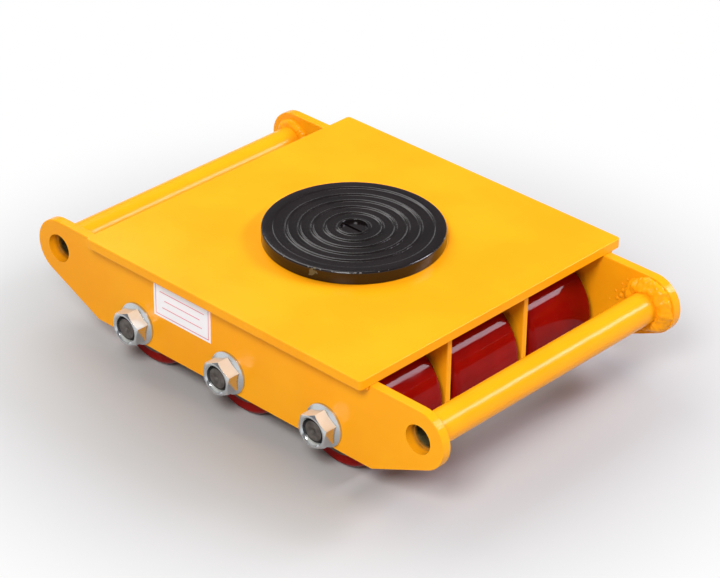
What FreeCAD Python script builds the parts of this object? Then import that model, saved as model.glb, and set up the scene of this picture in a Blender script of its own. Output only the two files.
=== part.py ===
# Nine-roller machine skate: a welded steel frame on three fixed axles, with a swivel disc on top.
# Millimetres, +Z up, X along the travel direction (front is +X), Y along the axles (left is +Y).
# The origin is on the ground, under the middle of the middle roller.
import FreeCAD
import Part
import Sketcher
import math
import os

# Driving sizes, one row of the sheet each
SIZES = {
    # rollers
    "roller_diameter": 80.0,
    "roller_length": 70.0,
    "tread_edge_radius": 5.0,
    "tread_edge_limit_share": 0.6,
    "hub_radius_share": 0.945,
    "hub_shoulder": 4.5,
    # bearings
    "bearing_outer_diameter": 47.0,
    "bearing_width": 14.0,
    "bearing_recess": 1.0,
    "ball_diameter_share": 0.575,
    "race_land_share": 0.19,
    "cage_wall_share": 0.16,
    "cage_width_share": 0.7,
    "seal_thickness": 1.2,
    "seal_recess": 0.4,
    # axles, spacers and nuts
    "axle_diameter": 20.0,
    "axle_reach": 12.0,
    "axle_chamfer": 1.5,
    "axle_mark_diameter": 6.0,
    "axle_mark_depth": 1.5,
    "spacer_wall": 3.0,
    "nut_across_flats": 28.0,
    "nut_height": 14.0,
    "nut_flange_diameter": 34.0,
    "nut_flange_rim": 1.8,
    "nut_flange_height": 4.5,
    "nut_crown_chamfer": 1.6,
    "nut_mouth": 1.0,
    # welded frame
    "bay_clearance": 4.5,
    "cross_clearance": 6.75,
    "roof_clearance": 12.5,
    "web_thickness": 5.0,
    "web_setback": 2.5,
    "side_thickness": 8.0,
    "skirt_depth": 16.5,
    "flat_margin": 5.5,
    "lug_radius": 23.5,
    "lug_hole_diameter": 23.0,
    "handle_reach": 49.0,
    "handle_tube_diameter": 25.0,
    "handle_tube_wall": 2.5,
    "top_thickness": 8.0,
    "top_overhang": 11.0,
    "top_end_cover": 4.0,
    "top_corner_radius": 3.0,
    "edge_round": 0.8,
    # welds
    "plate_weld_leg": 4.5,
    "handle_weld_leg": 5.0,
    "web_weld_leg": 4.0,
    "web_weld_height": 20.0,
    # swivel disc, its screw and its washer
    "disc_diameter": 140.0,
    "disc_height": 10.2,
    "disc_edge_chamfer": 0.8,
    "disc_rim_width": 9.5,
    "ridge_width": 3.2,
    "ridge_height": 1.0,
    "ridge_slope": 0.8,
    "screw_head_diameter": 20.0,
    "screw_head_thickness": 3.5,
    "screw_head_depth": 2.5,
    "screw_head_clearance": 1.7,
    "screw_shoulder_diameter": 14.0,
    "screw_thread_diameter": 12.0,
    "screw_end_gap": 0.5,
    "slot_width": 2.4,
    "slot_depth": 1.6,
    "washer_diameter": 60.0,
    "washer_thickness": 1.5,
    # label
    "label_length": 61.0,
    "label_height": 31.0,
    "label_thickness": 0.3,
    "label_gap": 0.5,
    # clearances
    "fit_clearance": 0.02,
    "running_clearance": 0.05,
    "disc_clearance": 0.3,
    "hole_clearance": 0.25,
    "ball_clearance": 0.15,
    "seal_clearance": 0.3,
    "cut_overrun": 2.0,
}

BALLS_PER_BEARING = 8
RIDGES = 5
HEX_CORNERS = 6
COLUMNS = {"right": -1, "centre": 0, "left": 1}
AXLES = {"rear": -1, "middle": 0, "front": 1}
NUT_TURNS_DEG = {"rear": 22.0, "middle": 8.0, "front": 27.0}

X_AXIS = FreeCAD.Vector(1, 0, 0)
Z_AXIS = FreeCAD.Vector(0, 0, 1)
QUARTER_TURN_DEG = 90.0
HALF_TURN_DEG = 180.0
FULL_TURN_DEG = 360.0
TINY_SHARE = 1e-6


class Length:
    """A size that carries its number and the sheet formula that gives it."""

    def __init__(self, number, formula):
        self.number = number
        self.formula = formula

    def __add__(self, other):
        return Length(self.number + other.number, f"({self.formula} + {other.formula})")

    def __sub__(self, other):
        return Length(self.number - other.number, f"({self.formula} - {other.formula})")

    def __neg__(self):
        return Length(-self.number, f"(-1 * {self.formula})")

    def __mul__(self, ratio):
        if isinstance(ratio, Length):
            return Length(self.number * ratio.number, f"({self.formula} * {ratio.formula})")
        return Length(self.number * ratio, f"({self.formula} * {ratio!r})")

    def __truediv__(self, ratio):
        return Length(self.number / ratio, f"({self.formula} / {ratio!r})")


def smaller(one, other):
    return Length(min(one.number, other.number), f"min({one.formula}; {other.formula})")


NONE = Length(0.0, "0")

doc = FreeCAD.newDocument("machine_skate")
sheet = doc.addObject("Spreadsheet::Sheet", "sizes")
for row, (alias, number) in enumerate(SIZES.items(), start=1):
    sheet.set(f"A{row}", alias)
    sheet.set(f"B{row}", str(number))
    sheet.setAlias(f"B{row}", alias)
doc.recompute()


def size(alias):
    return Length(SIZES[alias], f"sizes.{alias}")


# Sizes that follow from the driving ones
roller_radius = size("roller_diameter") / 2
half_roller = size("roller_length") / 2
web_thickness = size("web_thickness")
half_web = web_thickness / 2
axle_radius = size("axle_diameter") / 2
axle_height = roller_radius
pitch = size("roller_diameter") + size("cross_clearance") * 2 + web_thickness
bay = size("roller_length") + size("bay_clearance") * 2
column_pitch = bay + web_thickness
web_place = column_pitch / 2
side_inner = column_pitch + bay / 2
side_outer = side_inner + size("side_thickness")
roller_end = pitch + roller_radius
skirt_height = axle_height - size("skirt_depth")
roof_height = size("roller_diameter") + size("roof_clearance")
wall_height = roof_height - skirt_height
plate_top = roof_height + size("top_thickness")
top_half_length = roller_end + size("top_end_cover")
top_half_width = side_outer + size("top_overhang")
lug_place = roller_end + size("handle_reach")
lug_height = roof_height - size("lug_radius")
hole_radius = axle_radius + size("hole_clearance")

bearing_radius = size("bearing_outer_diameter") / 2
bearing_section = bearing_radius - axle_radius
hub_radius = (bearing_radius + roller_radius) / 2 * size("hub_radius_share")
tread_thickness = roller_radius - hub_radius
tread_edge = smaller(size("tread_edge_radius"), tread_thickness * size("tread_edge_limit_share"))
bearing_offset = half_roller - size("bearing_recess") - size("bearing_width") / 2
ball_circle = (bearing_radius + axle_radius) / 2
ball_diameter = (size("bearing_width") + bearing_section) / 2 * size("ball_diameter_share")
ball_radius = ball_diameter / 2
race_radius = ball_radius + size("ball_clearance")
race_land = bearing_section * size("race_land_share")

disc_radius = size("disc_diameter") / 2
disc_top = size("disc_clearance") + size("disc_height")
shoulder_radius = size("screw_shoulder_diameter") / 2
head_top = disc_top - size("screw_head_depth")
head_bottom = head_top - size("screw_head_thickness")
thread_radius = size("screw_thread_diameter") / 2


def bind(thing, prop, length):
    thing.setExpression(prop, length.formula)


def place(thing, x=NONE, y=NONE, z=NONE):
    for axis, length in zip("xyz", (x, y, z)):
        bind(thing, f"Placement.Base.{axis}", length)


def turn(thing, axis, degrees):
    thing.Placement = FreeCAD.Placement(FreeCAD.Vector(), FreeCAD.Rotation(axis, degrees))


# Sketches
def new_sketch(body, plane_role):
    sketch = body.newObject("Sketcher::SketchObject", "Outline")
    plane = next(item for item in body.Origin.OriginFeatures if item.Role == plane_role)
    sketch.AttachmentSupport = (plane, "")
    sketch.MapMode = "FlatFace"
    return sketch


def hold(sketch, kind, name, length, *ends):
    """Add one sized constraint and bind it to the sheet."""
    index = sketch.addConstraint(Sketcher.Constraint(kind, *ends, length.number))
    sketch.renameConstraint(index, name)
    bind(sketch, f"Constraints.{name}", length)


def hold_point(sketch, name, edge, end, across, up):
    """Fix one point of a sketch by its two distances from the sketch's origin."""
    origin = (-1, 1)
    for axis, kind, word, length in ((-2, "DistanceX", "across", across), (-1, "DistanceY", "up", up)):
        if length.number == 0:
            sketch.addConstraint(Sketcher.Constraint("PointOnObject", edge, end, axis))
        else:
            hold(sketch, kind, f"{word}_{name}", length, *origin, edge, end)


def add_polygon(sketch, corners):
    spots = [FreeCAD.Vector(across.number, up.number, 0) for across, up in corners]
    edges = []
    for start, stop in zip(spots, spots[1:] + spots[:1]):
        edges.append(sketch.addGeometry(Part.LineSegment(start, stop)))
    for edge, following in zip(edges, edges[1:] + edges[:1]):
        sketch.addConstraint(Sketcher.Constraint("Coincident", edge, 2, following, 1))
    for number, (edge, (across, up)) in enumerate(zip(edges, corners)):
        hold_point(sketch, f"corner{number}", edge, 1, across, up)


def add_circle(sketch, name, across, up, radius):
    middle = FreeCAD.Vector(across.number, up.number, 0)
    edge = sketch.addGeometry(Part.Circle(middle, Z_AXIS, radius.number))
    hold(sketch, "Radius", f"radius_{name}", radius, edge)
    hold_point(sketch, name, edge, 3, across, up)


# Solids
def new_body(label):
    body = doc.addObject("PartDesign::Body", label)
    body.Label = label
    return body


def pad(body, sketch, thickness, midplane=False):
    solid = body.newObject("PartDesign::Pad", "Thickness")
    solid.Profile = sketch
    solid.Midplane = midplane
    bind(solid, "Length", thickness)
    doc.recompute()
    return solid


def round_edges(body, base, wanted, radius):
    """Round the edges of a body's last feature that the given test picks."""
    names = [f"Edge{n}" for n, edge in enumerate(base.Shape.Edges, start=1) if wanted(edge)]
    rounding = body.newObject("PartDesign::Fillet", "Rounding")
    rounding.Base = (base, names)
    bind(rounding, "Radius", radius)
    doc.recompute()
    return rounding


def spread(edge, axis):
    return getattr(edge.BoundBox, f"{axis}Length")


def on_outline(edge, axis):
    """True for an open edge in a plane square to the named axis: an outline, and no round hole."""
    return not edge.isClosed() and spread(edge, axis) < edge.Length * TINY_SHARE


def stands(edge, axis):
    """True for a straight edge along the named axis."""
    straight = edge.Curve.TypeId == "Part::GeomLine"
    return straight and math.isclose(edge.Length, spread(edge, axis), rel_tol=TINY_SHARE)


def turned(label, corners):
    """Turn a closed outline of (radius, height) corners about the Z axis."""
    body = new_body(label)
    sketch = new_sketch(body, "XZ_Plane")
    add_polygon(sketch, corners)
    solid = body.newObject("PartDesign::Revolution", "Turning")
    solid.Profile = sketch
    solid.ReferenceAxis = (sketch, ["V_Axis"])
    solid.Angle = FULL_TURN_DEG
    doc.recompute()
    return body


def sleeve(label, inner, outer, low, high):
    return turned(label, [(inner, low), (outer, low), (outer, high), (inner, high)])


def box(label, length, width, height):
    """A block centred on its own origin in X and Y, standing on Z zero."""
    body = new_body(label)
    sketch = new_sketch(body, "XY_Plane")
    far, wide = length / 2, width / 2
    add_polygon(sketch, [(-far, -wide), (far, -wide), (far, wide), (-far, wide)])
    pad(body, sketch, height)
    return body


def joined(kind, label, base, tool):
    result = doc.addObject(kind, label)
    result.Base = base
    result.Tool = tool
    result.Label = label
    doc.recompute()
    return result


def torus(label, middle_radius, tube_radius):
    ring = doc.addObject("Part::Torus", label)
    bind(ring, "Radius1", middle_radius)
    bind(ring, "Radius2", tube_radius)
    return ring


def copy_of(master, x=NONE, y=NONE, z=NONE, axis=Z_AXIS, degrees=0.0):
    twin = doc.addObject("App::Link", f"{master.Label}_copy")
    twin.LinkedObject = master
    turn(twin, axis, degrees)
    place(twin, x, y, z)
    return twin


def group(label, copies):
    node = doc.addObject("Part::Compound", label)
    node.Links = copies
    node.Label = label
    return node


nodes = []


# Top plate, with the threaded hole of the pivot screw
def make_top_plate():
    body = new_body("top_plate")
    sketch = new_sketch(body, "XY_Plane")
    far, wide = top_half_length, top_half_width
    add_polygon(sketch, [(-far, -wide), (far, -wide), (far, wide), (-far, wide)])
    add_circle(sketch, "pivot", NONE, NONE, thread_radius + size("fit_clearance"))
    plate = pad(body, sketch, size("top_thickness"))

    def at_corner(edge):
        return stands(edge, "Z") and math.isclose(abs(edge.CenterOfMass.x), far.number)

    plate = round_edges(body, plate, at_corner, size("top_corner_radius"))
    round_edges(body, plate, lambda edge: on_outline(edge, "Z"), size("edge_round"))
    place(body, z=roof_height)
    return body


# Side plates: a straight top edge, a rounded lug at each end and a cut-away lower corner
def lug_outline(sketch):
    flat = roller_end + size("flat_margin")
    lug = size("lug_radius")
    across, drop = flat.number - lug_place.number, skirt_height.number - lug_height.number
    low = math.atan2(drop, across) + math.acos(lug.number / math.hypot(across, drop))

    def spot(x, z):
        return FreeCAD.Vector(x, z, 0)

    def lug_arc(side, start, stop):
        circle = Part.Circle(spot(side * lug_place.number, lug_height.number), Z_AXIS, lug.number)
        return Part.ArcOfCircle(circle, start, stop)

    def lug_spot(side, angle):
        x = lug_place.number + lug.number * math.cos(angle)
        return spot(side * x, lug_height.number + lug.number * math.sin(angle))

    ends = [spot(side * flat.number, skirt_height.number) for side in (1, -1)]
    top, right, slope, bottom, rise, left = sketch.addGeometry([
        Part.LineSegment(lug_spot(-1, math.pi / 2), lug_spot(1, math.pi / 2)),
        lug_arc(1, low, math.pi / 2),
        Part.LineSegment(lug_spot(1, low), ends[0]),
        Part.LineSegment(ends[0], ends[1]),
        Part.LineSegment(ends[1], lug_spot(-1, low)),
        lug_arc(-1, math.pi / 2, math.pi - low),
    ])
    for kind, *ends in (
        ("Horizontal", top),
        ("Horizontal", bottom),
        ("Tangent", top, 2, right, 2),
        ("Tangent", right, 1, slope, 1),
        ("Coincident", slope, 2, bottom, 1),
        ("Coincident", bottom, 2, rise, 1),
        ("Tangent", rise, 2, left, 2),
        ("Tangent", left, 1, top, 1),
        ("Equal", right, left),
    ):
        sketch.addConstraint(Sketcher.Constraint(kind, *ends))
    hold(sketch, "Radius", "lug", lug, right)
    hold(sketch, "DistanceX", "front_lug", lug_place, -1, 1, right, 3)
    hold(sketch, "DistanceX", "rear_lug", lug_place, left, 3, -1, 1)
    hold(sketch, "DistanceY", "roof", roof_height, -1, 1, top, 1)
    hold(sketch, "DistanceY", "skirt", skirt_height, -1, 1, bottom, 1)
    hold(sketch, "DistanceX", "front_flat", flat, -1, 1, bottom, 1)
    hold(sketch, "DistanceX", "rear_flat", flat, bottom, 2, -1, 1)


def make_side_plate(label, y):
    body = new_body(label)
    sketch = new_sketch(body, "XZ_Plane")
    lug_outline(sketch)
    for word, side in AXLES.items():
        add_circle(sketch, f"{word}_axle", pitch * side, axle_height, hole_radius)
        if side:
            add_circle(sketch, f"{word}_lug", lug_place * side, lug_height, size("lug_hole_diameter") / 2)
    plate = pad(body, sketch, size("side_thickness"))
    round_edges(body, plate, lambda edge: on_outline(edge, "Y"), size("edge_round"))
    place(body, y=y)
    return body


# Inner webs run the length of the frame, drilled for the axles
def make_inner_web(label, y):
    body = new_body(label)
    sketch = new_sketch(body, "XZ_Plane")
    far = roller_end - size("web_setback")
    add_polygon(sketch, [(-far, skirt_height), (far, skirt_height), (far, roof_height), (-far, roof_height)])
    for word, side in AXLES.items():
        add_circle(sketch, f"{word}_axle", pitch * side, axle_height, hole_radius)
    web = pad(body, sketch, web_thickness, midplane=True)
    round_edges(body, web, lambda edge: on_outline(edge, "Y"), size("edge_round"))
    place(body, y=y)
    return body


# Cross webs stand between the rollers, one in each bay
def make_cross_webs():
    master = box("cross_web", web_thickness, bay, wall_height)
    round_edges(master, master.Tip, lambda edge: stands(edge, "Y"), size("edge_round"))
    copies = []
    for side in (-1, 1):
        for column in COLUMNS.values():
            copies.append(copy_of(master, pitch / 2 * side, column_pitch * column, skirt_height))
    return group("cross_webs", copies)


def make_handle_tube(label, side):
    outer = size("handle_tube_diameter") / 2
    tube = sleeve(label, outer - size("handle_tube_wall"), outer, -side_inner, side_inner)
    turn(tube, X_AXIS, QUARTER_TURN_DEG)
    place(tube, lug_place * side, NONE, lug_height)
    return tube


# Weld beads, drawn as plain fillets with equal legs
def make_plate_welds():
    leg = size("plate_weld_leg")
    body = new_body("plate_weld")
    sketch = new_sketch(body, "YZ_Plane")
    add_polygon(sketch, [(NONE, NONE), (NONE, -leg), (leg, NONE)])
    pad(body, sketch, (top_half_length - size("edge_round")) * 2, midplane=True)
    left = copy_of(body, NONE, side_outer, roof_height)
    right = copy_of(body, NONE, -side_outer, roof_height, Z_AXIS, HALF_TURN_DEG)
    return group("top_plate_welds", [left, right])


def make_handle_welds():
    leg = size("handle_weld_leg")
    outer = size("handle_tube_diameter") / 2
    master = turned("handle_weld", [(outer, NONE), (outer + leg, NONE), (outer, leg)])
    copies = []
    for end in (-1, 1):
        for side in (-1, 1):
            spot = (lug_place * end, side_inner * side, lug_height)
            copies.append(copy_of(master, *spot, X_AXIS, QUARTER_TURN_DEG * side))
    return group("handle_welds", copies)


def make_web_welds():
    leg = size("web_weld_leg")
    body = new_body("web_weld")
    sketch = new_sketch(body, "XY_Plane")
    add_polygon(sketch, [(NONE, NONE), (leg, NONE), (NONE, leg)])
    pad(body, sketch, size("web_weld_height"))
    copies = []
    for end in (-1, 1):
        for side in (-1, 1):
            for quarter, (ahead, beside) in enumerate(((1, 1), (-1, 1), (-1, -1), (1, -1))):
                x = pitch / 2 * end + half_web * ahead
                y = web_place * side + half_web * beside
                copies.append(copy_of(body, x, y, skirt_height, Z_AXIS, quarter * QUARTER_TURN_DEG))
                if beside == -side:
                    y = side_inner * side
                    copies.append(copy_of(body, x, y, skirt_height, Z_AXIS, quarter * QUARTER_TURN_DEG))
    return group("web_welds", copies)


# Axles with chamfered ends and a centre mark, clamped by a flange nut at each end
def make_axle(label, side):
    end = side_outer + size("axle_reach")
    chamfer = size("axle_chamfer")
    mark = size("axle_mark_diameter") / 2
    hollow = end - size("axle_mark_depth")
    upper = [(axle_radius, end - chamfer), (axle_radius - chamfer, end), (mark, end), (NONE, hollow)]
    lower = [(radius, -height) for radius, height in reversed(upper)]
    axle = turned(label, lower + upper)
    turn(axle, X_AXIS, QUARTER_TURN_DEG)
    place(axle, pitch * side, NONE, axle_height)
    return axle


def make_axle_nuts():
    height = size("nut_height")
    flat = size("nut_across_flats") / 2
    corner = flat / math.cos(math.pi / HEX_CORNERS)
    flange = size("nut_flange_diameter") / 2
    bore = axle_radius + size("fit_clearance")
    chamfer = size("nut_crown_chamfer")
    prism = doc.addObject("Part::Prism", "nut_hexagon")
    prism.Polygon = HEX_CORNERS
    bind(prism, "Circumradius", corner)
    bind(prism, "Height", height)
    crown = turned("nut_crown", [
        (NONE, NONE), (corner, NONE), (corner, height - chamfer),
        (flat - chamfer / 2, height), (NONE, height),
    ])
    hexagon = joined("Part::Common", "nut_hexagon_crowned", prism, crown)
    skirt = turned("nut_flange", [
        (NONE, NONE), (flange, NONE), (flange, size("nut_flange_rim")), (flat, size("nut_flange_height")),
        (NONE, size("nut_flange_height")),
    ])
    blank = joined("Part::Fuse", "nut_blank", hexagon, skirt)
    mouth = size("nut_mouth")
    over = size("cut_overrun")
    drill = turned("nut_drill", [
        (NONE, -over), (bore, -over), (bore, height - mouth), (bore + mouth + over, height + over),
        (NONE, height + over),
    ])
    nut = joined("Part::Cut", "axle_nut", blank, drill)
    copies = []
    for word, end in AXLES.items():
        for side in (-1, 1):
            twin = copy_of(nut, pitch * end, side_outer * side, axle_height)
            spin = FreeCAD.Rotation(Z_AXIS, NUT_TURNS_DEG[word] * side)
            twin.Placement.Rotation = FreeCAD.Rotation(X_AXIS, -QUARTER_TURN_DEG * side) * spin
            copies.append(twin)
    return group("axle_nuts", copies)


# Sealed ball bearings, two to a roller, modelled about their own middle
def make_bearing_masters():
    half = size("bearing_width") / 2
    inner_land = ball_circle - race_land
    outer_land = ball_circle + race_land
    inner = sleeve("inner_ring_blank", axle_radius + size("fit_clearance"), inner_land, -half, half)
    outer = sleeve("outer_ring_blank", outer_land, bearing_radius, -half, half)
    groove = torus("race_groove", ball_circle, race_radius)
    ball = doc.addObject("Part::Sphere", "ball")
    bind(ball, "Radius", ball_radius)
    pocket = doc.addObject("Part::Cylinder", "cage_pocket")
    bind(pocket, "Radius", race_radius)
    bind(pocket, "Height", ball_diameter)
    balls = []
    pockets = []
    for number in range(BALLS_PER_BEARING):
        angle = 2 * math.pi * number / BALLS_PER_BEARING
        balls.append(copy_of(ball, ball_circle * math.cos(angle), ball_circle * math.sin(angle)))
        start = ball_circle - ball_radius
        outward = FreeCAD.Vector(-math.sin(angle), math.cos(angle), 0)
        across, up = start * math.cos(angle), start * math.sin(angle)
        pockets.append(copy_of(pocket, across, up, NONE, outward, QUARTER_TURN_DEG))
    wall = ball_diameter * size("cage_wall_share") / 2
    reach = half * size("cage_width_share")
    band = sleeve("cage_band", ball_circle - wall, ball_circle + wall, -reach, reach)
    face = half - size("seal_recess")
    back = face - size("seal_thickness")
    lip = inner_land + size("seal_clearance")
    seat = outer_land - size("fit_clearance")
    seal = sleeve("bearing_seal", lip, seat, back, face)
    seals = group("bearing_seals", [copy_of(seal), copy_of(seal, axis=X_AXIS, degrees=HALF_TURN_DEG)])
    return {
        "inner_ring": joined("Part::Cut", "inner_ring", inner, groove),
        "outer_ring": joined("Part::Cut", "outer_ring", outer, groove),
        "balls": group("ball_set", balls),
        "cage": joined("Part::Cut", "ball_cage", band, group("cage_pockets", pockets)),
        "seals": seals,
    }


def on_axle(master, end, column, offset):
    """A copy laid along the axle, offset from the middle of one roller."""
    y = column_pitch * column + offset
    return copy_of(master, pitch * end, y, axle_height, X_AXIS, QUARTER_TURN_DEG)


def at_all_rollers(label, master, offsets):
    copies = []
    for end in AXLES.values():
        for column in COLUMNS.values():
            for offset in offsets:
                copies.append(on_axle(master, end, column, offset))
    return group(label, copies)


# Rollers: a tread bonded on a hub that is bored for a bearing at each end
def make_roller_masters():
    tread = sleeve("tread", hub_radius, roller_radius, -half_roller, half_roller)
    rim = roller_radius.number

    def on_rim(edge):
        return edge.Curve.TypeId == "Part::GeomCircle" and math.isclose(edge.Curve.Radius, rim)

    round_edges(tread, tread.Tip, on_rim, tread_edge)
    seat = bearing_radius + size("fit_clearance")
    bore = bearing_radius - size("hub_shoulder")
    shoulder = half_roller - size("bearing_recess") - size("bearing_width")
    upper = [(hub_radius, half_roller), (seat, half_roller), (seat, shoulder), (bore, shoulder)]
    lower = [(radius, -height) for radius, height in reversed(upper)]
    return tread, turned("hub", upper + lower)


def make_rollers(bearing):
    tread, hub = make_roller_masters()
    made = []
    for axle, end in AXLES.items():
        for word, column in COLUMNS.items():
            name = f"{axle}_{word}"
            offsets = (-bearing_offset, bearing_offset)
            rings = [on_axle(bearing["outer_ring"], end, column, offset) for offset in offsets]
            seals = [on_axle(bearing["seals"], end, column, offset) for offset in offsets]
            made.append(group(f"tread_{name}", [on_axle(tread, end, column, NONE)]))
            made.append(group(f"hub_{name}", [on_axle(hub, end, column, NONE)]))
            made.append(group(f"outer_rings_{name}", rings))
            made.append(group(f"seals_{name}", seals))
    return made


def make_axle_fittings(bearing):
    inner = axle_radius + size("fit_clearance")
    outer = inner + size("spacer_wall")
    pair = (-bearing_offset, bearing_offset)
    gap = half_roller - size("bearing_recess") - size("bearing_width")
    inside = sleeve("hub_spacer", inner, outer, -gap, gap)
    short = (size("bay_clearance") + size("bearing_recess")) / 2
    outside = sleeve("axle_spacer", inner, outer, -short, short)
    reach = bay / 2 - short
    return [
        at_all_rollers("bearing_inner_rings", bearing["inner_ring"], pair),
        at_all_rollers("bearing_balls", bearing["balls"], pair),
        at_all_rollers("bearing_cages", bearing["cage"], pair),
        at_all_rollers("hub_spacers", inside, (NONE,)),
        at_all_rollers("axle_spacers", outside, (-reach, reach)),
    ]


# Swivel disc: a ridged cap that turns on a washer and is held down by a slotted shoulder screw
def make_swivel_disc():
    top = size("disc_height")
    field = top - size("ridge_height")
    slope = size("ridge_slope")
    half_ridge = size("ridge_width") / 2
    chamfer = size("disc_edge_chamfer")
    bore = shoulder_radius + size("running_clearance")
    recess = size("screw_head_diameter") / 2 + size("screw_head_clearance")
    floor = head_bottom - size("running_clearance") - size("disc_clearance")
    roof = size("washer_thickness") + size("running_clearance") - size("disc_clearance")
    pocket = size("washer_diameter") / 2 + size("hole_clearance")
    rim = disc_radius - size("disc_rim_width")
    ring_step = (rim - recess) / RIDGES
    corners = [(bore, roof), (bore, floor), (recess, floor), (recess, top)]
    corners += [(recess + half_ridge * 2 - slope, top), (recess + half_ridge * 2, field)]
    for number in range(1, RIDGES):
        middle = recess + ring_step * number
        corners.append((middle - half_ridge, field))
        corners.append((middle - half_ridge + slope, top))
        corners.append((middle + half_ridge - slope, top))
        corners.append((middle + half_ridge, field))
    corners += [(rim, field), (rim + slope, top), (disc_radius - chamfer, top)]
    corners += [(disc_radius, top - chamfer), (disc_radius, NONE), (pocket, NONE), (pocket, roof)]
    disc = turned("swivel_disc", corners)
    place(disc, z=plate_top + size("disc_clearance"))
    return disc


def make_pivot_screw():
    head = size("screw_head_diameter") / 2
    low = size("screw_end_gap") - size("top_thickness")
    blank = turned("screw_blank", [
        (NONE, low), (thread_radius, low), (thread_radius, NONE), (shoulder_radius, NONE),
        (shoulder_radius, head_bottom), (head, head_bottom), (head, head_top), (NONE, head_top),
    ])
    over = size("cut_overrun")
    slot = box("screw_slot", (head + over) * 2, size("slot_width"), size("slot_depth") + over)
    place(slot, z=head_top - size("slot_depth"))
    screw = joined("Part::Cut", "pivot_screw", blank, slot)
    place(screw, z=plate_top)
    return screw


def make_thrust_washer():
    inner = shoulder_radius + size("hole_clearance")
    washer = sleeve("thrust_washer", inner, size("washer_diameter") / 2, NONE, size("washer_thickness"))
    place(washer, z=plate_top)
    return washer


# Blank label stuck on the right side plate, under the top plate's weld
def make_label():
    label = box("blank_label", size("label_length"), size("label_thickness"), size("label_height"))
    low = roof_height - size("plate_weld_leg") - size("label_gap") - size("label_height")
    place(label, -pitch / 2, -side_outer - size("label_thickness") / 2, low)
    return label


nodes.append(make_top_plate())
nodes.append(make_side_plate("side_plate_left", side_outer))
nodes.append(make_side_plate("side_plate_right", -side_inner))
nodes.append(make_inner_web("inner_web_left", web_place))
nodes.append(make_inner_web("inner_web_right", -web_place))
nodes.append(make_cross_webs())
nodes.append(make_handle_tube("handle_tube_front", 1))
nodes.append(make_handle_tube("handle_tube_rear", -1))
nodes.append(make_plate_welds())
nodes.append(make_handle_welds())
nodes.append(make_web_welds())
for word, side in AXLES.items():
    nodes.append(make_axle(f"axle_{word}", side))
nodes.append(make_axle_nuts())
bearing_masters = make_bearing_masters()
nodes += make_axle_fittings(bearing_masters)
nodes += make_rollers(bearing_masters)
nodes.append(make_swivel_disc())
nodes.append(make_pivot_screw())
nodes.append(make_thrust_washer())
nodes.append(make_label())
doc.recompute()

# Stop on any failed feature or bad solid before a file is written
for item in doc.Objects:
    if "Invalid" in item.State or "Error" in item.State:
        raise RuntimeError(f"{item.Label} failed: {item.State}")
for node in nodes:
    if node.Shape.isNull() or not node.Shape.isValid() or not node.Shape.Solids:
        raise RuntimeError(f"{node.Label} has no valid solid")

os.makedirs("parts", exist_ok=True)
for node in nodes:
    node.Shape.exportStep(os.path.join("parts", f"{node.Label}.step"))
print(f"{len(nodes)} nodes, {sum(len(node.Shape.Solids) for node in nodes)} solids")
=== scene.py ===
import bmesh
import bpy
import math
from mathutils import Matrix, Quaternion, Vector, noise


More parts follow.
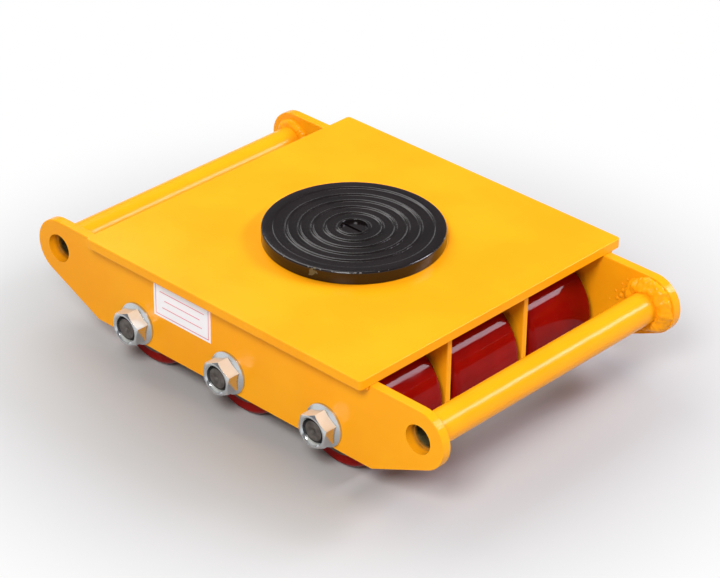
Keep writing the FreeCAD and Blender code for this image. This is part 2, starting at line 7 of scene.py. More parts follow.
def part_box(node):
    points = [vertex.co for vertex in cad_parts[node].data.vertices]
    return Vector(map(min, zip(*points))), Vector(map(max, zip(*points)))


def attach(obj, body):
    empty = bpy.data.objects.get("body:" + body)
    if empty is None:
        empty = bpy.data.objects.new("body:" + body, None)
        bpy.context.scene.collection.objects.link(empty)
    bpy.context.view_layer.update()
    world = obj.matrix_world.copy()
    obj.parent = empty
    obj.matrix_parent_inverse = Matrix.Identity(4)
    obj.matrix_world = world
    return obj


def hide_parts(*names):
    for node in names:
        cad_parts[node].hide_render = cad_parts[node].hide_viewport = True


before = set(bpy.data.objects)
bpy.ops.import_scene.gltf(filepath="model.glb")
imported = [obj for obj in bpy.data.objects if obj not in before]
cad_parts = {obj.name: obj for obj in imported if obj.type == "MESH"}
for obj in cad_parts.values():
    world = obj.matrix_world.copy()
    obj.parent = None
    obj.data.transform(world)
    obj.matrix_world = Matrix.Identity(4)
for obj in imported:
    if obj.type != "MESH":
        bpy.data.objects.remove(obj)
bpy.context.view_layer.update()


# Welded frame: a top plate, two side plates with drilled lugs, and webs between the rollers.
# All are mild steel, flame cut and welded up, then sprayed with a thick coat of glossy yellow enamel.
class Signal:
    """An output of a finish's nodes. Sums on it add Math nodes, and make() adds any other node."""

    def __init__(self, tree, socket=None):
        self.tree = tree
        self.socket = socket

    def make(self, kind, settings=None, sockets=None, output=0):
        node = self.tree.nodes.new(kind)
        for name, value in (settings or {}).items():
            if name == "stops":
                ramp = node.color_ramp.elements
                ends = {0: ramp[0], len(value) - 1: ramp[1]}
                for number, (position, colour) in enumerate(value):
                    stop = ends.get(number) or ramp.new(position)
                    stop.position = position
                    stop.color = (*colour, 1.0)
            else:
                setattr(node, name, value)
        for name, value in (sockets or {}).items():
            if isinstance(value, Signal):
                self.tree.links.new(value.socket, node.inputs[name])
            else:
                node.inputs[name].default_value = value
        return Signal(self.tree, node.outputs[output])

    def sums(self, operation, *values):
        return self.make("ShaderNodeMath", {"operation": operation}, dict(enumerate(values)))

    def __add__(self, other):
        return self.sums("ADD", self, other)

    def __radd__(self, other):
        return self.sums("ADD", other, self)

    def __sub__(self, other):
        return self.sums("SUBTRACT", self, other)

    def __rsub__(self, other):
        return self.sums("SUBTRACT", other, self)

    def __mul__(self, other):
        return self.sums("MULTIPLY", self, other)

    def __rmul__(self, other):
        return self.sums("MULTIPLY", other, self)

    def __abs__(self):
        return self.sums("ABSOLUTE", self)

    def rise(self, low, high):
        """Goes smoothly from 0 at low to 1 at high."""
        sockets = {"Value": self, "From Min": low, "From Max": high}
        return self.make("ShaderNodeMapRange", {"interpolation_type": "SMOOTHSTEP"}, sockets)

    def tint(self, low, high):
        """The colour low where this is 0 and high where it is 1."""
        low, high = (colour if isinstance(colour, Signal) else (*colour, 1.0) for colour in (low, high))
        sockets = {"Factor": self, 6: low, 7: high}
        return self.make("ShaderNodeMix", {"data_type": "RGBA"}, sockets, output=2)

    def bump(self, depth):
        return self.make("ShaderNodeBump", None, {"Height": self, "Distance": depth}, output="Normal")

    def grain(self, scale, detail=2.0, stretch=(1.0, 1.0, 1.0)):
        """Soft noise over a place on the object, with scale patches to the metre."""
        spread = self.make("ShaderNodeMapping", None, {"Vector": self, "Scale": stretch})
        return self.make("ShaderNodeTexNoise", None, {"Vector": spread, "Scale": scale, "Detail": detail})

    def vector(self, operation, *values, output=0):
        settings = {"operation": operation}
        return self.make("ShaderNodeVectorMath", settings, dict(enumerate(values)), output)

    def axis(self, letter):
        return self.make("ShaderNodeSeparateXYZ", None, {"Vector": self}, output=letter)

    def from_line(self, point, across):
        """The distance from a straight line through a point, measured along the two axes across it."""
        kept = tuple(float(letter in across) for letter in "XYZ")
        flat = self.vector("MULTIPLY", self.vector("SUBTRACT", self, point), kept)
        return self.vector("LENGTH", flat, output="Value")


def new_finish(name):
    """A new finish, and the place on the object in metres."""
    finish = bpy.data.materials.new(name)
    finish.use_nodes = True
    return finish, Signal(finish.node_tree).make("ShaderNodeTexCoord", output="Object")


def set_shader(finish, **sockets):
    shader = finish.node_tree.nodes["Principled BSDF"]
    for word, value in sockets.items():
        name = word.replace("_", " ").title().replace("Ior", "IOR")
        if isinstance(value, Signal):
            finish.node_tree.links.new(value.socket, shader.inputs[name])
        else:
            shader.inputs[name].default_value = value
    return finish


def dress(finish, *nodes):
    for node in nodes:
        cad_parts[node].material_slots[0].material = finish


tube_low, tube_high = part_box("handle_tube_front")
tube_radius = (tube_high.z - tube_low.z) / 2
tube_x, tube_z = (tube_low.x + tube_high.x) / 2, (tube_low.z + tube_high.z) / 2
plate_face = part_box("side_plate_left")[1].y
lug_mouth = Vector((tube_x, plate_face, tube_z))
bore_radius, paint_skin = 0.0115, 0.0004
paint_reach, bare_shade_reach = 0.0055, 0.0125


def enamel(name, broad_axis=None, bore=None):
    """Yellow enamel. A plate's cut edges, square to its broad faces, show drag lines under the paint.

    Inside the bore's radius, the paint thins out to dark, scaled steel on the way in from the lug, which
    also stands as painted shade deep in the bore."""
    finish, place = new_finish(name)
    cloud = place.grain(14.0, detail=3.0)
    peel = place.grain(420.0, detail=1.0)
    sag = place.grain(38.0, detail=1.0)
    dust = place.make("ShaderNodeTexVoronoi", None, {"Vector": place, "Scale": 95.0})
    nib = 1.0 - dust.rise(0.02, 0.07)
    relief = 0.16 * peel + 0.9 * sag + 0.12 * nib
    if broad_axis:
        normal = place.make("ShaderNodeNewGeometry", output="Normal")
        edge = 1.0 - abs(normal.axis(broad_axis)).rise(0.15, 0.5)
        stretch = tuple(0.12 if letter == broad_axis else 1.0 for letter in "XYZ")
        drag = place.grain(260.0, detail=2.0, stretch=stretch)
        relief = relief + 0.7 * edge * drag
    paint = cloud.rise(0.3, 0.7).tint((0.94, 0.355, 0.005), (0.96, 0.395, 0.007))
    if bore:
        folded = place.vector("ABSOLUTE", place)
        inside = 1.0 - folded.from_line(lug_mouth, "XZ").rise(bore, bore + paint_skin)
        depth = lug_mouth.y - folded.axis("Y") + 0.003 * place.grain(120.0)
        rust = place.grain(160.0, detail=4.0).rise(0.35, 0.7)
        # Past the paint's reach the bore is near-black scaled steel, which is also painted shade of the
        # deep bore.
        scale = rust.tint((0.016, 0.014, 0.007), (0.10, 0.085, 0.035))
        paint = (inside * depth.rise(paint_reach, bare_shade_reach)).tint(paint, scale)
    return set_shader(
        finish,
        base_color=paint,
        roughness=0.17 + 0.12 * cloud,
        normal=relief.bump(0.0004),
        specular_ior_level=0.12,
    )


dress(enamel("plate_enamel", "Z"), "top_plate")
dress(enamel("side_enamel", "Y", bore=bore_radius + paint_skin), "side_plate_left", "side_plate_right")
dress(enamel("inner_enamel", "Y"), "inner_web_left", "inner_web_right")
dress(enamel("web_enamel", "X"), "cross_webs")


# Handle tubes: two lengths of plain steel tube between the lugs, in line with the lug holes.
# They are sprayed with the frame after welding, and the paint doesn't reach far inside them; their dark
# inside is partly painted shade.
tube_wall = 0.0025
dress(enamel("tube_enamel", bore=tube_radius - tube_wall * 0.3), "handle_tube_front", "handle_tube_rear")


# Seam beads under the top plate: hand-laid fillet welds along both side plates.
# They swell where the welder stopped and started again, and thick paint rounds off their ripples.
def new_piece(name, add, **sizes):
    bpy.ops.object.select_all(action="DESELECT")
    add(**sizes)
    piece = bpy.context.object
    piece.name = name
    piece.data.name = name
    bpy.ops.object.transform_apply(location=True, rotation=True, scale=True)
    return piece


def pick(piece, kind, wanted):
    """In edit mode, select the piece's verts, edges or faces that the test wants, and nothing else."""
    bpy.ops.mesh.select_mode(type=kind)
    bpy.ops.mesh.select_all(action="DESELECT")
    mesh = bmesh.from_edit_mesh(piece.data)
    for item in {"VERT": mesh.verts, "EDGE": mesh.edges, "FACE": mesh.faces}[kind]:
        if wanted(item):
            item.select_set(True)
    bmesh.update_edit_mesh(piece.data)


def hold(*pieces):
    """Select these pieces and nothing else, with the first one active."""
    bpy.ops.object.select_all(action="DESELECT")
    bpy.context.view_layer.objects.active = pieces[0]
    for piece in pieces:
        piece.select_set(True)


def apply_modifier(piece, kind, **settings):
    hold(piece)
    modifier = piece.modifiers.new(kind.lower(), kind)
    for name, value in settings.items():
        setattr(modifier, name, value)
    bpy.ops.object.modifier_apply(modifier=modifier.name)


def roughen(piece, patch, height, group=""):
    """Push the surface, or a group of its points, in and out in soft lumps of about the patch's size."""
    lumps = bpy.data.textures.new(f"{piece.name}_lumps", type="CLOUDS")
    lumps.noise_scale = patch
    lumps.noise_depth = 1
    apply_modifier(
        piece, "DISPLACE", texture=lumps, texture_coords="LOCAL", strength=height, vertex_group=group,
    )


def smooth(piece, degrees):
    hold(piece)
    bpy.ops.object.shade_smooth_by_angle(angle=math.radians(degrees))


def fit(piece, finish, body, slot, *nodes):
    """Finish a piece, let it ride on its body and stand for the nodes that it is modelled after."""
    piece.data.materials.clear()
    piece.data.materials.append(finish)
    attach(piece, body)
    if nodes:
        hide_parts(*nodes)


def lay_bead(name, leg, length, seed, stops=()):
    """A fillet weld along X from the origin, in the corner between +Y and -Z.

    Stops are the shares of its length where it was broken off and started again."""
    flat = {"size": leg, "location": (0, leg / 2, -leg / 2), "rotation": (0, math.pi / 2, 0)}
    bead = new_piece(name, bpy.ops.mesh.primitive_plane_add, **flat)
    bpy.ops.object.mode_set(mode="EDIT")
    pick(bead, "VERT", lambda vert: vert.co.y > leg / 2 and vert.co.z < -leg / 2)
    bpy.ops.mesh.bevel(offset=0.8 * leg, segments=5, affect="VERTICES")
    bpy.ops.mesh.select_all(action="SELECT")
    half_ripple = 0.0014
    mean, swell, shake, ripple, stop_swell, end_share = 0.90, 0.26, 0.10, 0.04, 0.42, 0.8
    steps = round(length / half_ripple)
    thickness = 1.0
    for step in range(1, steps + 1):
        travel = length * step / steps
        bpy.ops.mesh.extrude_region_move(TRANSFORM_OT_translate={"value": (length / steps, 0, 0)})
        slow = noise.noise((travel / leg / 7, seed, 0))
        quick = noise.noise((travel / leg, seed, 1))
        wanted = mean + swell * slow + shake * quick + ripple * (step % 2)
        for stop in stops:
            wanted += stop_swell * math.exp(-((travel - stop * length) / leg) ** 2)
        if step in (1, steps):
            wanted *= end_share
        change = wanted / thickness
        bpy.ops.transform.resize(value=(1, change, change), center_override=(travel, 0, 0))
        thickness = wanted
    bpy.ops.mesh.select_all(action="SELECT")
    bpy.ops.mesh.normals_make_consistent(inside=False)
    bpy.ops.object.mode_set(mode="OBJECT")
    apply_modifier(bead, "SUBSURF", levels=1, render_levels=1)
    return bead


weld_enamel = enamel("weld_enamel")
seam_low, seam_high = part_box("top_plate_welds")
seam_leg = seam_high.z - seam_low.z
seam_length = seam_high.x - seam_low.x
seam_sink, seam_lump, seam_relief = 0.0004, 0.005, 0.0012
seam_face = seam_high.y - seam_leg - seam_sink
seam_stops = {"left": (0.02, 0.36, 0.66), "right": (0.22, 0.28, 0.62, 0.98)}
for seam_word, side in (("left", 1), ("right", -1)):
    seam = lay_bead(f"seam_bead_{seam_word}", seam_leg, seam_length, side, seam_stops[seam_word])
    roughen(seam, seam_lump, seam_relief)
    spin = Matrix.Rotation(0 if side > 0 else math.pi, 4, "Z")
    corner = Matrix.Translation((seam_low.x * side, seam_face * side, seam_high.z + seam_sink))
    seam.data.transform(corner @ spin)
    smooth(seam, 60)
    fit(seam, weld_enamel, "frame", "yellow_enamel", "top_plate_welds")


# Ring welds at the handle tubes' ends: each tube is welded all round to the inner face of its lug.
# The front left one is the heaviest, with lumps and pits in it.
def cut_with(piece, tool, operation):
    apply_modifier(piece, "BOOLEAN", operation=operation, object=tool, solver="EXACT")
    bpy.data.objects.remove(tool)


lug_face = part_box("side_plate_left")[0].y
core_radius = tube_radius - tube_wall / 4


def lay_ring(name, end, side, thickness):
    """A ring weld round a tube's end: half a rippled ring on the lug's face, hollow for the tube."""
    ripples, ripple_height, lift_share = 38, 0.0006, 0.25
    lump, lump_share, pit, pit_share = 0.007, 0.55, 0.0022, 0.16
    centre = Vector((tube_x * end, lug_face * side, tube_z))
    lying = {"location": centre, "rotation": (math.pi / 2, 0, 0)}
    ring = new_piece(
        name, bpy.ops.mesh.primitive_torus_add, major_segments=ripples * 2, minor_segments=20,
        major_radius=tube_radius + thickness * lift_share, minor_radius=thickness, **lying,
    )

    def on_ripple(vert):
        turn = math.atan2(vert.co.z - centre.z, vert.co.x - centre.x) / math.tau
        return round(turn * ripples * 2) % 2 == 0

    def on_free_surface(vert):
        from_axis = math.hypot(vert.co.x - centre.x, vert.co.z - centre.z)
        return abs(vert.co.y) < lug_face + seam_sink / 2 and from_axis > core_radius + seam_sink / 2

    bpy.ops.object.mode_set(mode="EDIT")
    pick(ring, "VERT", on_ripple)
    bpy.ops.transform.shrink_fatten(value=ripple_height)
    bpy.ops.object.mode_set(mode="OBJECT")
    apply_modifier(ring, "SUBSURF", levels=1, render_levels=1)
    bpy.ops.object.mode_set(mode="EDIT")
    bpy.ops.mesh.select_all(action="SELECT")
    sunk_face = (lug_face + seam_sink) * side
    bpy.ops.mesh.bisect(
        plane_co=(0, sunk_face, 0), plane_no=(0, side, 0), clear_outer=True, use_fill=True,
    )
    bpy.ops.object.mode_set(mode="OBJECT")
    core = new_piece(
        "tube_core", bpy.ops.mesh.primitive_cylinder_add, vertices=96,
        radius=core_radius, depth=thickness * 6, **lying,
    )
    cut_with(ring, core, "DIFFERENCE")
    bpy.ops.object.mode_set(mode="EDIT")
    pick(ring, "VERT", on_free_surface)
    ring.vertex_groups.new(name="free_surface")
    bpy.ops.object.vertex_group_assign()
    bpy.ops.object.mode_set(mode="OBJECT")
    roughen(ring, lump, thickness * lump_share, "free_surface")
    roughen(ring, pit, thickness * pit_share, "free_surface")
    return ring


ring_sizes = {"front_left": 0.0075, "front_right": 0.0046, "rear_left": 0.0044, "rear_right": 0.0046}
for ring_word, ring_thickness in ring_sizes.items():
    end = 1 if ring_word.startswith("front") else -1
    side = 1 if ring_word.endswith("left") else -1
    ring = lay_ring(f"ring_weld_{ring_word}", end, side, ring_thickness)
    smooth(ring, 60)
    fit(ring, weld_enamel, "frame", "yellow_enamel", "handle_welds")


# Weld spatter: drops of molten steel thrown on the lug beside the heavy front left weld.
# They froze where they landed, flat on the plate, and were painted over with it.
def copy_of(piece, name, matrix):
    """A copy with its own mesh, put in place by the matrix."""
    copy = bpy.data.objects.new(name, piece.data.copy())
    bpy.context.scene.collection.objects.link(copy)
    copy.data.name = name
    copy.data.transform(matrix)
    return copy


# A row is an angle round the tube in degrees, a reach from its middle and a radius in millimetres.
spatter_rows = (
    (187, 27, 2.2), (176, 25, 1.8), (193, 31, 1.6), (182, 32, 1.2), (200, 26, 1.3), (206, 34, 0.9),
    (221, 30, 0.9), (165, 27, 1.0), (196, 39, 0.7), (240, 27, 0.9), (150, 25, 0.8), (215, 41, 0.6),
)
millimetre, drop_flatness = 0.001, 0.7
drop = new_piece(
    "weld_drop", bpy.ops.mesh.primitive_ico_sphere_add, subdivisions=2, radius=millimetre,
)
bpy.ops.object.mode_set(mode="EDIT")
bpy.ops.mesh.select_all(action="SELECT")
bpy.ops.transform.resize(value=(1, drop_flatness, 1), center_override=(0, 0, 0))
bpy.ops.object.mode_set(mode="OBJECT")
drops = []
for angle, reach, drop_radius in spatter_rows:
    turn = math.radians(angle)
    spot = Vector((tube_x, lug_face, tube_z))
    spot += Vector((math.cos(turn), 0, math.sin(turn))) * reach * millimetre
    sized = Matrix.Translation(spot) @ Matrix.Scale(drop_radius, 4)
    drops.append(copy_of(drop, "weld_spatter", sized))
bpy.data.objects.remove(drop)
hold(*drops)
bpy.ops.object.join()
spatter = bpy.context.object
spatter.name = "weld_spatter"
smooth(spatter, 60)
fit(spatter, weld_enamel, "frame", "yellow_enamel")


# Web welds: short upright fillets where the webs cross and where they meet the side plates,
# with a blob of weld over the foot of each crossing.
web_low, web_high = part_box("web_welds")
cross_low, cross_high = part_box("cross_webs")
inner_low, inner_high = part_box("inner_web_left")
web_thickness = inner_high.y - inner_low.y
web_x = cross_high.x - web_thickness / 2
web_y = (inner_low.y + inner_high.y) / 2
fillet_leg = web_high.x - cross_high.x
fillet_lump, fillet_relief, fillet_seed = 0.003, 0.001, 5
blob_share, blob_flatness, blob_lump, blob_relief = 0.95, 0.55, 0.004, 0.002
fillet = lay_bead("web_fillet", fillet_leg, web_high.z - web_low.z, fillet_seed)
roughen(fillet, fillet_lump, fillet_relief)
blob = new_piece(
    "crossing_blob", bpy.ops.mesh.primitive_ico_sphere_add, subdivisions=4,
    radius=web_thickness * blob_share,
)
bpy.ops.object.mode_set(mode="EDIT")
bpy.ops.mesh.select_all(action="SELECT")
bpy.ops.transform.resize(value=(1, 1, blob_flatness), center_override=(0, 0, 0))
bpy.ops.object.mode_set(mode="OBJECT")
roughen(blob, blob_lump, blob_relief)
upright = Matrix.Rotation(-math.pi / 2, 4, "Y")
web_parts = []
for end in (-1, 1):
    for side in (-1, 1):
        for quarter, (ahead, beside) in enumerate(((1, 1), (-1, 1), (-1, -1), (1, -1))):
            quarter_turn = Matrix.Rotation(quarter * math.pi / 2, 4, "Z")
            x = web_x * end + web_thickness / 2 * ahead
            corners = [web_y * side + web_thickness / 2 * beside]
            if beside == -side:
                corners.append(cross_high.y * side)
            for y in corners:
                standing = Matrix.Translation((x, y, web_low.z)) @ quarter_turn @ upright
                web_parts.append(copy_of(fillet, "web_fillet_copy", standing))
        foot = Matrix.Translation((web_x * end, web_y * side, web_low.z))
        blob_turn = Matrix.Rotation(math.atan2(side, end), 4, "Z")
        web_parts.append(copy_of(blob, "crossing_blob_copy", foot @ blob_turn))
bpy.data.objects.remove(fillet)
bpy.data.objects.remove(blob)
hold(*web_parts)
bpy.ops.object.join()
web_beads = bpy.context.object
web_beads.name = "web_beads"
smooth(web_beads, 60)
fit(web_beads, weld_enamel, "frame", "yellow_enamel", "web_welds")


# Axles: three bright steel bars, turned at the ends and left bare, so they have dulled to grey brown.
# Each passes through both side plates and is clamped by a nut on the thread at each end.
def turned_steel(name, axle, tones, rough, rim=None):
    """Bare steel with turning marks round an axle's line. A rim is a radius and a colour past it, painted
    as shade on the axle ends and as a highlight on the bearing rings.
    """
    finish, place = new_finish(name)
    low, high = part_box(axle)
    radius = place.from_line((low + high) / 2, "XZ")
    wobble = place.grain(90.0, detail=3.0)
    marks = radius.sums("SINE", radius * 7000.0 + wobble * 3.0)
    stain = place.grain(170.0, detail=4.0)
    colour = stain.rise(0.3, 0.7).tint(*tones)
    if rim:
        painted_rim_radius, painted_rim_colour = rim
        rim_blur = 0.0003
        colour = radius.rise(painted_rim_radius - rim_blur, painted_rim_radius + rim_blur).tint(colour, painted_rim_colour)
    return set_shader(
        finish,
        base_color=colour,
        metallic=0.85,
        roughness=rough + 0.15 * stain,
        normal=(marks * 0.3 + stain).bump(0.0001),
    )


axles = ("rear", "middle", "front")
axle_low, axle_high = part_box("axle_front")
axle_radius = (axle_high.z - axle_low.z) / 2
thread_shade_width, axle_rough = 0.0021, 0.40
axle_tones = (0.090, 0.078, 0.070), (0.185, 0.165, 0.150)
# Past this radius the axle is painted near black: painted shade in the gap between the thread and the
# nut's mouth.
thread_shade_ring = axle_radius - thread_shade_width, (0.018, 0.017, 0.018)
for word in axles:
    axle = f"axle_{word}"
    dress(turned_steel(f"axle_steel_{word}", axle, axle_tones, axle_rough, thread_shade_ring), axle)


# Axle nuts: six flange nuts with a conical skirt and a deeply chamfered crown,
# zinc plated and passivated, so their bright metal carries faint yellow and pink tints.
def widen(piece, low, rise, ratio):
    """Draw the top face of a round piece up by rise and out or in by ratio."""
    bpy.ops.object.mode_set(mode="EDIT")
    pick(piece, "FACE", lambda face: face.normal.z > 0.9 and face.calc_center_median().z > low)
    bpy.ops.mesh.extrude_region_move(TRANSFORM_OT_translate={"value": (0, 0, rise)})
    bpy.ops.transform.resize(value=(ratio, ratio, 1), center_override=(0, 0, low + rise))
    bpy.ops.object.mode_set(mode="OBJECT")


def round_bar(name, radius, low, high):
    sizes = {"vertices": 128, "radius": radius, "depth": high - low, "location": (0, 0, (low + high) / 2)}
    return new_piece(name, bpy.ops.mesh.primitive_cylinder_add, **sizes)


nut_low, nut_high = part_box("axle_nuts")
nut_height = nut_high.y - plate_face
skirt_radius = (nut_high.z - nut_low.z) / 2
across_flats, skirt_rim, skirt_height = 0.0256, 0.0018, 0.0032
crown_radius, crown_slope, mouth_chamfer, overrun = 0.0124, 30.0, 0.0012, 0.002
blank_share, bore_share, edge_round, edge_limit = 1.02, 1.005, 0.0004, math.radians(15)
corner_radius = across_flats / 2 / math.cos(math.pi / 6)
blank_radius = corner_radius * blank_share
crown_chamfer = (blank_radius - crown_radius) * math.tan(math.radians(crown_slope))
hex_height = nut_height + overrun
nut = new_piece(
    "axle_nut", bpy.ops.mesh.primitive_cylinder_add, vertices=6, radius=corner_radius,
    depth=hex_height, location=(0, 0, hex_height / 2),
)
crown = round_bar("crown", blank_radius, -overrun, nut_height - crown_chamfer)
widen(crown, 0, crown_chamfer, crown_radius / blank_radius)
cut_with(nut, crown, "INTERSECT")
skirt = round_bar("skirt", skirt_radius, 0, skirt_rim)
widen(skirt, 0, skirt_height - skirt_rim, across_flats / 2 / skirt_radius)
cut_with(nut, skirt, "UNION")
bore = round_bar("bore", axle_radius * bore_share, -overrun, nut_height - mouth_chamfer)
widen(bore, 0, mouth_chamfer + overrun, 1 + (mouth_chamfer + overrun) / axle_radius)
cut_with(nut, bore, "DIFFERENCE")
apply_modifier(nut, "BEVEL", width=edge_round, segments=3, limit_method="ANGLE", angle_limit=edge_limit)


def zinc_plate():
    """Bright zinc, paler and less metallic on the flats that face up: a painted sheen of the light from
    above.
    """
    finish, place = new_finish("zinc_plate")
    drift = place.grain(75.0, detail=2.0)
    tints = [(0.25, (0.57, 0.59, 0.63)), (0.42, (0.63, 0.63, 0.62)), (0.55, (0.68, 0.64, 0.57)),
             (0.66, (0.66, 0.59, 0.59)), (0.78, (0.55, 0.58, 0.57))]
    bright = place.make("ShaderNodeValToRGB", {"stops": tints}, {"Fac": drift}, output="Color")
    pits = place.grain(900.0, detail=2.0)
    upward = place.make("ShaderNodeNewGeometry", output="Normal").axis("Z").rise(0.55, 0.85)
    # Flats facing up, above the skirt, are made pale, less metallic and rougher: a painted sheen.
    painted_upward_sheen = upward * abs(place.axis("Y")).rise(plate_face + skirt_rim, plate_face + skirt_height)
    return set_shader(
        finish,
        base_color=painted_upward_sheen.tint(bright, (0.78, 0.79, 0.74)),
        metallic=0.9 - 0.6 * painted_upward_sheen,
        roughness=0.09 + 0.08 * pits + 0.08 * painted_upward_sheen,
        normal=pits.bump(0.00002),
    )


nut_zinc = zinc_plate()
nut_turns = {"rear": 9.5, "middle": 6.0, "front": 8.0}
for word, degrees in nut_turns.items():
    low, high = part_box(f"axle_{word}")
    middle = (low + high) / 2
    for side_word, side in (("left", 1), ("right", -1)):
        spin = Matrix.Rotation(math.radians(degrees) * side, 4, "Z")
        lie = Matrix.Rotation(-math.pi / 2 * side, 4, "X")
        place = Matrix.Translation((middle.x, plate_face * side, middle.z))
        copy = copy_of(nut, f"axle_nut_{word}_{side_word}", place @ lie @ spin)
        smooth(copy, 35)
        fit(copy, nut_zinc, "frame", "zinc_plate", "axle_nuts")
bpy.data.objects.remove(nut)


# Rollers: a tread of red cast polyurethane bonded on a turned steel hub, polished by its mould,
# with a sealed ball bearing pressed into each end of the hub.
def polyurethane():
    finish, place = new_finish("red_polyurethane")
    mould = place.grain(300.0, detail=2.0, stretch=(0.05, 1.0, 0.05))
    cloud = place.grain(30.0, detail=3.0)
    scuff = place.grain(55.0, detail=6.0, stretch=(1.0, 0.3, 1.0)).rise(0.58, 0.72)
    return set_shader(
        finish,
        base_color=cloud.rise(0.3, 0.7).tint((0.195, 0.0026, 0.0013), (0.250, 0.0038, 0.0019)),
        roughness=0.04 + 0.03 * mould + 0.14 * scuff,
        normal=(mould + 0.5 * scuff).bump(0.00003),
        specular_ior_level=0.08,
    )


def bright_steel():
    finish, place = new_finish("bright_steel")
    stain = place.grain(80.0, detail=4.0)
    return set_shader(
        finish,
        base_color=stain.rise(0.35, 0.7).tint((0.36, 0.35, 0.34), (0.56, 0.55, 0.53)),
        metallic=0.9,
        roughness=0.2 + 0.15 * stain,
        normal=stain.bump(0.00003),
    )


def seal_rubber():
    finish, place = new_finish("seal_rubber")
    dust = place.grain(220.0, detail=4.0)
    return set_shader(
        finish,
        base_color=dust.rise(0.45, 0.8).tint((0.010, 0.010, 0.011), (0.030, 0.028, 0.027)),
        roughness=0.42 + 0.2 * dust,
        normal=dust.bump(0.00005),
    )


tread_red = polyurethane()
seal_black = seal_rubber()
bearing_low, bearing_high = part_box("outer_rings_front_right")
bearing_radius = (bearing_high.z - bearing_low.z) / 2
ring_chamfer, hub_rough, ring_rough = 0.0008, 0.36, 0.24
hub_tones = (0.075, 0.070, 0.065), (0.15, 0.14, 0.13)
ring_tones = (0.16, 0.155, 0.15), (0.26, 0.25, 0.24)
# The bearing rings are painted pale past this radius: a painted highlight on their outer chamfer.
ring_edge_highlight = bearing_radius - ring_chamfer, (0.72, 0.70, 0.66)
for word in axles:
    axle = f"axle_{word}"
    hub_steel = turned_steel(f"hub_steel_{word}", axle, hub_tones, hub_rough)
    ring_steel = turned_steel(f"bearing_steel_{word}", axle, ring_tones, ring_rough, ring_edge_highlight)
    for column in ("right", "centre", "left"):
        dress(tread_red, f"tread_{word}_{column}")
        dress(hub_steel, f"hub_{word}_{column}")
        dress(ring_steel, f"outer_rings_{word}_{column}")
        dress(seal_black, f"seals_{word}_{column}")
inner_steel = bright_steel()
dress(inner_steel, "bearing_inner_rings", "bearing_balls", "bearing_cages")
dress(inner_steel, "hub_spacers", "axle_spacers")


# Swivel disc: a cast iron cap with round ridges, turned on its top and sprayed semi-gloss black.
# It turns on a washer, and one chip on its rim shows the primer.
disc_low, disc_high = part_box("swivel_disc")
disc_radius, disc_height = (disc_high.x - disc_low.x) / 2, disc_high.z - disc_low.z
screw_low, screw_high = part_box("pivot_screw")
screw_radius = (screw_high.x - screw_low.x) / 2
ridge_count, ridge_width, ridge_height, ridge_slope, ridge_round = 5, 0.0032, 0.001, 0.0011, 0.0008
rim_width, rim_round, recess_clearance, recess_depth = 0.0095, 0.0014, 0.0020, 0.006
recess_draft, ridge_limit = 0.0002, math.radians(30)
recess_radius = screw_radius + recess_clearance
ridge_step = (disc_radius - rim_width - recess_radius) / ridge_count
groove = ridge_step - ridge_width
disc = new_piece(
    "ridged_disc", bpy.ops.mesh.primitive_cylinder_add, vertices=192, radius=disc_radius,
    depth=disc_height, location=(0, 0, (disc_low.z + disc_high.z) / 2),
)
bpy.ops.object.mode_set(mode="EDIT")
pick(disc, "FACE", lambda face: face.normal.z > 0.9)
bpy.ops.mesh.bevel(offset=rim_round, segments=5)
pick(disc, "FACE", lambda face: face.normal.z > 0.999)
bpy.ops.mesh.inset(thickness=rim_width - rim_round - ridge_slope, depth=0)
for number in range(ridge_count):
    first = number == 0
    last = number == ridge_count - 1
    bpy.ops.mesh.inset(thickness=ridge_slope, depth=-ridge_height)
    bpy.ops.mesh.inset(thickness=groove + ridge_width / 2 if first else groove, depth=0)
    bpy.ops.mesh.inset(thickness=ridge_slope, depth=ridge_height)
    bpy.ops.mesh.inset(thickness=ridge_width - ridge_slope * (1 if last else 2), depth=0)
bpy.ops.mesh.inset(thickness=recess_draft, depth=-recess_depth)
bpy.ops.object.mode_set(mode="OBJECT")
apply_modifier(disc, "BEVEL", width=ridge_round, segments=4, limit_method="ANGLE", angle_limit=ridge_limit)
smooth(disc, 45)


def black_enamel():
    finish, place = new_finish("black_enamel")
    peel = place.grain(600.0, detail=2.0)
    cloud = place.grain(40.0, detail=4.0)
    upward = place.make("ShaderNodeNewGeometry", output="Normal").axis("Z")
    # Faces that point up get a paler, mottled black, and the sides a darker one.
    upper_tone = cloud.rise(0.3, 0.7).tint((0.0066, 0.0042, 0.0044), (0.0100, 0.0062, 0.0066))
    paint = upward.rise(0.3, 0.9).tint((0.0060, 0.0036, 0.0036), upper_tone)
    chip_turn, chip_drop = math.radians(-71), 0.004
    chip_x, chip_y = disc_radius * math.cos(chip_turn), disc_radius * math.sin(chip_turn)
    chip_centre = (chip_x, chip_y, disc_high.z - chip_drop)
    reach = place.vector("DISTANCE", place, chip_centre, output="Value")
    chip = 1.0 - (reach + 0.012 * place.grain(240.0, detail=4.0)).rise(0.0088, 0.0094)
    primer = chip.tint(paint, (0.085, 0.072, 0.034))
    # A pale rubbed line on the rim's top outer edge: wear, and also a painted highlight of that edge.
    edge_width = 0.0009
    outer = place.from_line((0, 0, 0), "XY").rise(disc_radius - edge_width, disc_radius - edge_width / 2)
    upper = place.axis("Z").rise(disc_high.z - edge_width, disc_high.z - edge_width / 2)
    wear_and_highlight = outer * upper * place.grain(260.0, detail=4.0).rise(0.60, 0.66)
    return set_shader(
        finish,
        base_color=wear_and_highlight.tint(primer, (0.20, 0.19, 0.18)),
        roughness=0.12 + 0.08 * cloud + 0.35 * chip,
        normal=(peel + cloud - chip).bump(0.00010),
        specular_ior_level=0.5,
    )


disc_black = black_enamel()
fit(disc, disc_black, "swivel", "black_enamel", "swivel_disc")


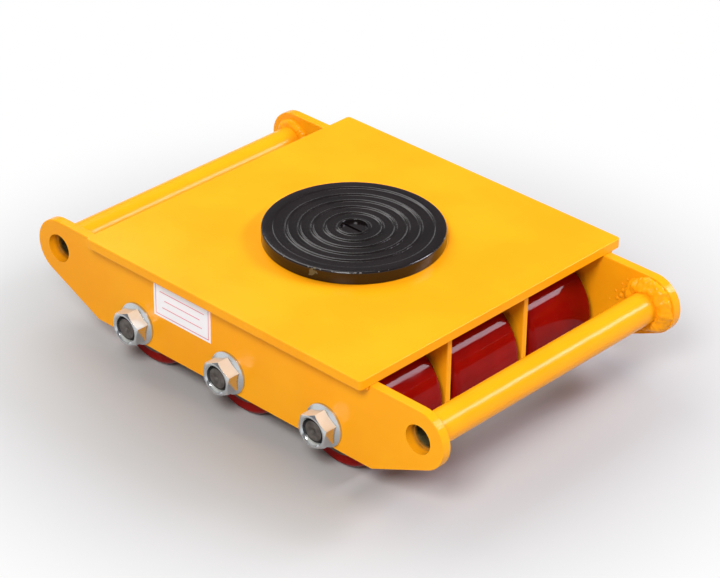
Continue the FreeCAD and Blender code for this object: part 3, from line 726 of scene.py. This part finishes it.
# Pivot screw and washer: a slotted shoulder screw of blacked steel, sunk in the middle of the disc,
# holds it down over a thrust washer of brass, which shows only as a thin line.
dress(disc_black, "pivot_screw")


def washer_brass():
    finish, place = new_finish("washer_brass")
    wipe = place.grain(120.0, detail=3.0)
    return set_shader(
        finish,
        base_color=wipe.tint((0.52, 0.34, 0.10), (0.62, 0.43, 0.16)),
        metallic=1.0,
        roughness=0.25 + 0.2 * wipe,
    )


dress(washer_brass(), "thrust_washer")


# Label: a blank film label stuck on the right side plate, under the top plate's overhang.
# It is white, printed with a thin red frame and three ruled lines to write on.
label_low, label_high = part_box("blank_label")


def label_film():
    finish, place = new_finish("label_film")
    across, up = place.axis("X"), place.axis("Z")
    middle = (label_low + label_high) / 2
    half = (label_high - label_low) / 2
    ink_width, margin = 0.00035, 0.0022

    def line(place_on_axis, at):
        return 1.0 - abs(place_on_axis - at).rise(ink_width * 0.8, ink_width * 1.2)

    def within(place_on_axis, centre, reach):
        return 1.0 - abs(place_on_axis - centre).rise(reach, reach + ink_width * 0.4)

    ink = []
    for row_share, reach_share in ((0.42, 0.78), (0.0, 0.62), (-0.42, 0.70)):
        row = line(up, middle.z + half.z * row_share)
        ink.append(row * within(across, middle.x, half.x * reach_share))
    upright_reach, level_reach = half.z - margin, half.x - margin
    for side in (-1, 1):
        ink.append(line(up, middle.z + side * upright_reach) * within(across, middle.x, level_reach))
        ink.append(line(across, middle.x + side * level_reach) * within(up, middle.z, upright_reach))
    printed = ink[0]
    for stroke in ink[1:]:
        printed = printed.sums("MAXIMUM", printed, stroke)
    fibre = place.grain(500.0, detail=3.0)
    return set_shader(
        finish,
        base_color=printed.tint((0.92, 0.90, 0.92), (0.75, 0.16, 0.20)),
        roughness=0.32 + 0.1 * fibre,
        normal=place.grain(60.0, detail=2.0).bump(0.0001),
    )


dress(label_film(), "blank_label")


# Stage: a pale floor, a softbox beside the camera, one behind the skate on the right and one overhead,
# and the camera at the photograph's viewing angle. The floor is clear from below.
def pale_floor():
    finish, place = new_finish("pale_floor")
    set_shader(finish, base_color=(0.45, 0.45, 0.45, 1.0), roughness=0.7, specular_ior_level=0.1)
    tree = finish.node_tree
    shader = Signal(tree, tree.nodes["Principled BSDF"].outputs[0])
    glow = shader.make("ShaderNodeEmission", None, {"Color": (1.0, 1.0, 1.0, 1.0), "Strength": 1.0})
    clear = shader.make("ShaderNodeBsdfTransparent")
    camera_ray, glossy_ray, glass_ray = (
        shader.make("ShaderNodeLightPath", output=ray)
        for ray in ("Is Camera Ray", "Is Glossy Ray", "Is Transmission Ray")
    )
    seen = camera_ray.sums("MAXIMUM", camera_ray, glossy_ray.sums("MAXIMUM", glossy_ray, glass_ray))
    glow_from, glow_to = 0.16, 0.42
    reach = place.vector("LENGTH", place, output="Value")
    far = seen * reach.rise(glow_from, glow_to)
    above = shader.make("ShaderNodeMixShader", None, {0: far, 1: shader, 2: glow})
    from_below = shader.make("ShaderNodeNewGeometry", output="Backfacing")
    either = shader.make("ShaderNodeMixShader", None, {0: from_below, 1: above, 2: clear})
    tree.links.new(either.socket, tree.nodes["Material Output"].inputs["Surface"])
    return finish


floor_width = 30.0
floor = new_piece("floor", bpy.ops.mesh.primitive_plane_add, size=floor_width)
floor.data.materials.append(pale_floor())

world = bpy.data.worlds.new("studio")
bpy.context.scene.world = world
world.use_nodes = True
world_tree = world.node_tree
toward = Signal(world_tree).make("ShaderNodeTexCoord", output="Generated")
pale_to, grey_from = 0.09, 0.22
room = toward.axis("Z").rise(pale_to, grey_from).tint((1.0, 1.0, 1.0), (0.2, 0.2, 0.21))
world_tree.links.new(room.socket, world_tree.nodes["Background"].inputs["Color"])


def softbox(name, toward, distance, around, width, height, radiance, colour):
    """A rectangular lamp that faces the skate. Its width runs square to the given axis."""
    away = Vector(toward).normalized()
    across = Vector(around).cross(away).normalized()
    lamp = bpy.data.lights.new(name, "AREA")
    lamp.shape = "RECTANGLE"
    lamp.size = width
    lamp.size_y = height
    lamp.energy = radiance * width * height * math.pi
    lamp.color = colour
    holder = bpy.data.objects.new(name, lamp)
    turn = Matrix((across, away.cross(across), away)).transposed().to_4x4()
    holder.matrix_world = Matrix.Translation(away * distance) @ turn
    bpy.context.scene.collection.objects.link(holder)


softbox("rear_softbox", (0.515, 0.627, 0.60), 2.0, (0, 1, 0), 0.45, 0.80, 26.0, (0.93, 0.89, 1.0))
softbox("top_softbox", (-0.54, 0.10, 0.83), 1.15, (0, 1, 0), 0.8, 0.8, 3.5, (1.0, 0.99, 0.98))
softbox("camera_softbox", (0.36, -0.63, 0.69), 2.4, (0, 0, 1), 0.7, 0.7, 29.0, (1.0, 0.99, 0.98))

aim = Vector((-0.001, 0.0086, 0.0517))
azimuth, elevation, roll = (math.radians(degrees) for degrees in (43.26, 30.67, 0.82))
camera_distance = 2.078
level = Vector((math.sin(azimuth), -math.cos(azimuth), 0))
back = level * math.cos(elevation) + Vector((0, 0, math.sin(elevation)))
camera = bpy.data.objects.new("camera", bpy.data.cameras.new("camera"))
bpy.context.scene.collection.objects.link(camera)
camera.data.sensor_width = 36.0
camera.data.lens = 136.0
camera.location = aim + back * camera_distance
camera.rotation_mode = "QUATERNION"
camera.rotation_quaternion = back.to_track_quat("Z", "Y") @ Quaternion((0, 0, 1), roll)
bpy.context.scene.camera = camera
bpy.context.scene.view_settings.view_transform = "Standard"
